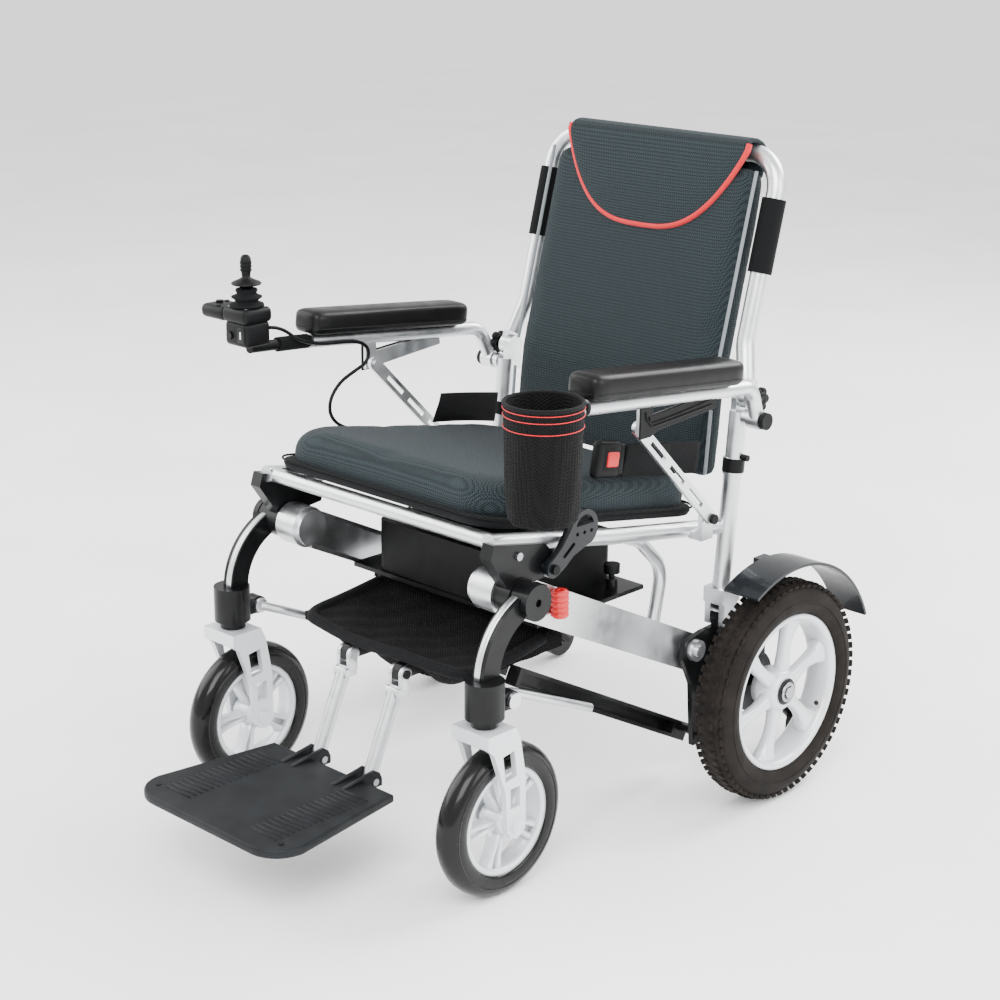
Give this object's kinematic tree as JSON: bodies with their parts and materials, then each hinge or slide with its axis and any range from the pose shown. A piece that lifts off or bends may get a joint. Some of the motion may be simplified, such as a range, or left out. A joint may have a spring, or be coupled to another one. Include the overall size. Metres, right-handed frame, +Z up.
{
  "type": "power wheelchair",
  "caption": "Folding power wheelchair with mesh seat and back, flip-up armrests, joystick, cup holder, footrest, casters and driven rear wheels.",
  "frame": {"origin": "middle of the chair's length and width, on the floor", "axes": "+X the user's left, -Y the way the chair faces, +Z up"},
  "size_m": [0.678, 0.942, 0.8862],
  "materials": {
    "alloy": "satin",
    "black_metal": "semi gloss",
    "steel": "brushed",
    "tyre": "matt",
    "caster_rubber": "satin",
    "black_plastic": "moulded",
    "grey_plastic": "gloss",
    "pad": "soft",
    "mesh_cloth": "woven",
    "black_cloth": "woven",
    "red_plastic": "moulded",
    "cable": "satin"
  },
  "bodies": {
    "chair": {"side_beam_left": "alloy", "side_beam_right": "alloy", "hub_bracket_left": "black_metal", "hub_bracket_right": "black_metal", "back_post_left": "alloy", "back_post_right": "alloy", "seat_frame": "alloy", "battery_tray": "black_metal", "battery_box": "black_plastic", "underseat_bag": "black_cloth", "seat_cushion": "mesh_cloth", "back_cushion_lower": "mesh_cloth", "belt_left": "black_cloth", "belt_right": "black_cloth"},
    "front_frame": {"front_arm_left": "black_metal", "front_arm_right": "black_metal"},
    "rear_frame": {"rear_plate_left": "black_metal", "rear_plate_right": "black_metal", "drive_motor_left": "black_metal", "drive_motor_right": "black_metal", "mudguard_left": "grey_plastic", "mudguard_right": "grey_plastic"},
    "link_rods": {"link_rod_left": "alloy", "link_rod_right": "alloy"},
    "link_channels": {"link_channel_left": "black_metal", "link_channel_right": "black_metal"},
    "backrest": {"back_tube": "alloy", "back_cushion_upper": "mesh_cloth", "headrest_flap": "mesh_cloth"},
    "armrest_l": {"armrest_tube_left": "alloy", "armrest_pad_left": "pad", "cup_holder": "black_cloth"},
    "armrest_r": {"armrest_tube_right": "alloy", "armrest_pad_right": "pad", "joystick_box": "black_plastic", "joystick_boot": "cable", "joystick_cable": "cable"},
    "strut_l": {"arm_strut_left": "alloy"},
    "strut_r": {"arm_strut_right": "alloy"},
    "gimbal": {"joystick_gimbal": "steel"},
    "stick": {"joystick_stick": "black_plastic"},
    "button": {"power_button": "black_plastic"},
    "legrest": {"footrest_leg_left": "alloy", "footrest_leg_right": "alloy"},
    "foot": {"footplate": "grey_plastic"},
    "lever": {"folding_lever": "grey_plastic"},
    "knob": {"release_knob": "black_plastic"},
    "belt_release": {"belt_button": "red_plastic"},
    "caster_left": {"caster_fork_left": "alloy"},
    "caster_wheel_left": {"caster_tyre_left": "caster_rubber", "caster_rim_left": "alloy"},
    "rear_wheel_left": {"rear_tyre_left": "tyre", "rear_rim_left": "alloy"},
    "tip_wheel_left": {"anti_tip_wheel_left": "caster_rubber"},
    "caster_right": {"caster_fork_right": "alloy"},
    "caster_wheel_right": {"caster_tyre_right": "caster_rubber", "caster_rim_right": "alloy"},
    "rear_wheel_right": {"rear_tyre_right": "tyre", "rear_rim_right": "alloy"},
    "tip_wheel_right": {"anti_tip_wheel_right": "caster_rubber"}
  },
  "joints": [
    {"name": "front_fold", "type": "hinge", "parent": "chair", "child": "front_frame", "pos_m": [0, -0.146, 0.372], "axis": [1, 0, 0], "range_deg": [0, 45]},
    {"name": "rear_fold", "type": "hinge", "parent": "chair", "child": "rear_frame", "pos_m": [0, 0.212, 0.201], "axis": [1, 0, 0], "range_deg": [-18, 0]},
    {"name": "link_rod_fold", "type": "hinge", "parent": "front_frame", "child": "link_rods", "pos_m": [0, -0.183, 0.255], "axis": [1, 0, 0], "range_deg": [-56, 0]},
    {"name": "link_channel_fold", "type": "hinge", "parent": "rear_frame", "child": "link_channels", "pos_m": [0, 0.233, 0.07], "axis": [1, 0, 0], "range_deg": [0, 7.3]},
    {"name": "caster_swivel_left", "type": "hinge", "parent": "front_frame", "child": "caster_left", "pos_m": [0.2376, -0.222, 0.2], "axis": [0, 0, 1], "continuous": true},
    {"name": "caster_spin_left", "type": "hinge", "parent": "caster_left", "child": "caster_wheel_left", "pos_m": [0.2376, -0.1967, 0.1], "axis": [1, 0, 0], "continuous": true},
    {"name": "rear_spin_left", "type": "hinge", "parent": "rear_frame", "child": "rear_wheel_left", "pos_m": [0.31, 0.271, 0.155], "axis": [1, 0, 0], "continuous": true},
    {"name": "tip_spin_left", "type": "hinge", "parent": "rear_frame", "child": "tip_wheel_left", "pos_m": [0.24, 0.441, 0.034], "axis": [1, 0, 0], "continuous": true},
    {"name": "caster_swivel_right", "type": "hinge", "parent": "front_frame", "child": "caster_right", "pos_m": [-0.2376, -0.222, 0.2], "axis": [0, 0, 1], "continuous": true},
    {"name": "caster_spin_right", "type": "hinge", "parent": "caster_right", "child": "caster_wheel_right", "pos_m": [-0.2376, -0.1967, 0.1], "axis": [1, 0, 0], "continuous": true},
    {"name": "rear_spin_right", "type": "hinge", "parent": "rear_frame", "child": "rear_wheel_right", "pos_m": [-0.31, 0.271, 0.155], "axis": [1, 0, 0], "continuous": true},
    {"name": "tip_spin_right", "type": "hinge", "parent": "rear_frame", "child": "tip_wheel_right", "pos_m": [-0.24, 0.441, 0.034], "axis": [1, 0, 0], "continuous": true},
    {"name": "back_fold", "type": "hinge", "parent": "chair", "child": "backrest", "pos_m": [0, 0.299, 0.541], "axis": [1, 0, 0], "range_deg": [-95, 0]},
    {"name": "arm_flip_left", "type": "hinge", "parent": "chair", "child": "armrest_l", "pos_m": [0, 0.288, 0.517], "axis": [1, 0, 0], "range_deg": [-90, 0]},
    {"name": "strut_fold_left", "type": "hinge", "parent": "armrest_l", "child": "strut_l", "pos_m": [0, 0.047, 0.551], "axis": [1, 0, 0], "range_deg": [0, 39]},
    {"name": "arm_flip_right", "type": "hinge", "parent": "chair", "child": "armrest_r", "pos_m": [0, 0.288, 0.517], "axis": [1, 0, 0], "range_deg": [-90, 0]},
    {"name": "strut_fold_right", "type": "hinge", "parent": "armrest_r", "child": "strut_r", "pos_m": [0, 0.047, 0.551], "axis": [1, 0, 0], "range_deg": [0, 39]},
    {"name": "legrest_swing", "type": "hinge", "parent": "chair", "child": "legrest", "pos_m": [0, -0.183, 0.235], "axis": [1, 0, 0], "range_deg": [-25, 0]},
    {"name": "footplate_flip", "type": "hinge", "parent": "legrest", "child": "foot", "pos_m": [0, -0.239, 0.104], "axis": [1, 0, 0], "range_deg": [-58, 0]},
    {"name": "joystick_fore", "type": "hinge", "parent": "armrest_r", "child": "gimbal", "pos_m": [-0.257, -0.165, 0.659], "axis": [1, 0, 0], "range_deg": [-10, 10], "stiffness_Nm_per_rad": 0.3},
    {"name": "joystick_side", "type": "hinge", "parent": "gimbal", "child": "stick", "pos_m": [-0.257, -0.165, 0.659], "axis": [0, 1, 0], "range_deg": [-10, 10], "stiffness_Nm_per_rad": 0.3},
    {"name": "lever_turn", "type": "hinge", "parent": "chair", "child": "lever", "pos_m": [0.228, -0.101, 0.4], "axis": [1, 0, 0], "range_deg": [0, 28]},
    {"name": "power_button_press", "type": "slide", "parent": "armrest_r", "child": "button", "axis": [0, 0, 1], "range_m": [-0.0012, 0], "stiffness_N_per_m": 800},
    {"name": "knob_press", "type": "slide", "parent": "chair", "child": "knob", "axis": [0, 0, 1], "range_m": [-0.006, 0], "stiffness_N_per_m": 900},
    {"name": "belt_release_press", "type": "slide", "parent": "chair", "child": "belt_release", "axis": [1, 0, 0], "range_m": [-0.003, 0], "stiffness_N_per_m": 900}
  ],
  "couplings": [
    {"joint": "rear_fold", "follows": "front_fold", "ratio": -0.4},
    {"joint": "link_rod_fold", "follows": "front_fold", "ratio": -1.24},
    {"joint": "link_channel_fold", "follows": "front_fold", "ratio": 0.16},
    {"joint": "strut_fold_left", "follows": "arm_flip_left", "ratio": -0.43},
    {"joint": "strut_fold_right", "follows": "arm_flip_right", "ratio": -0.43}
  ]
}
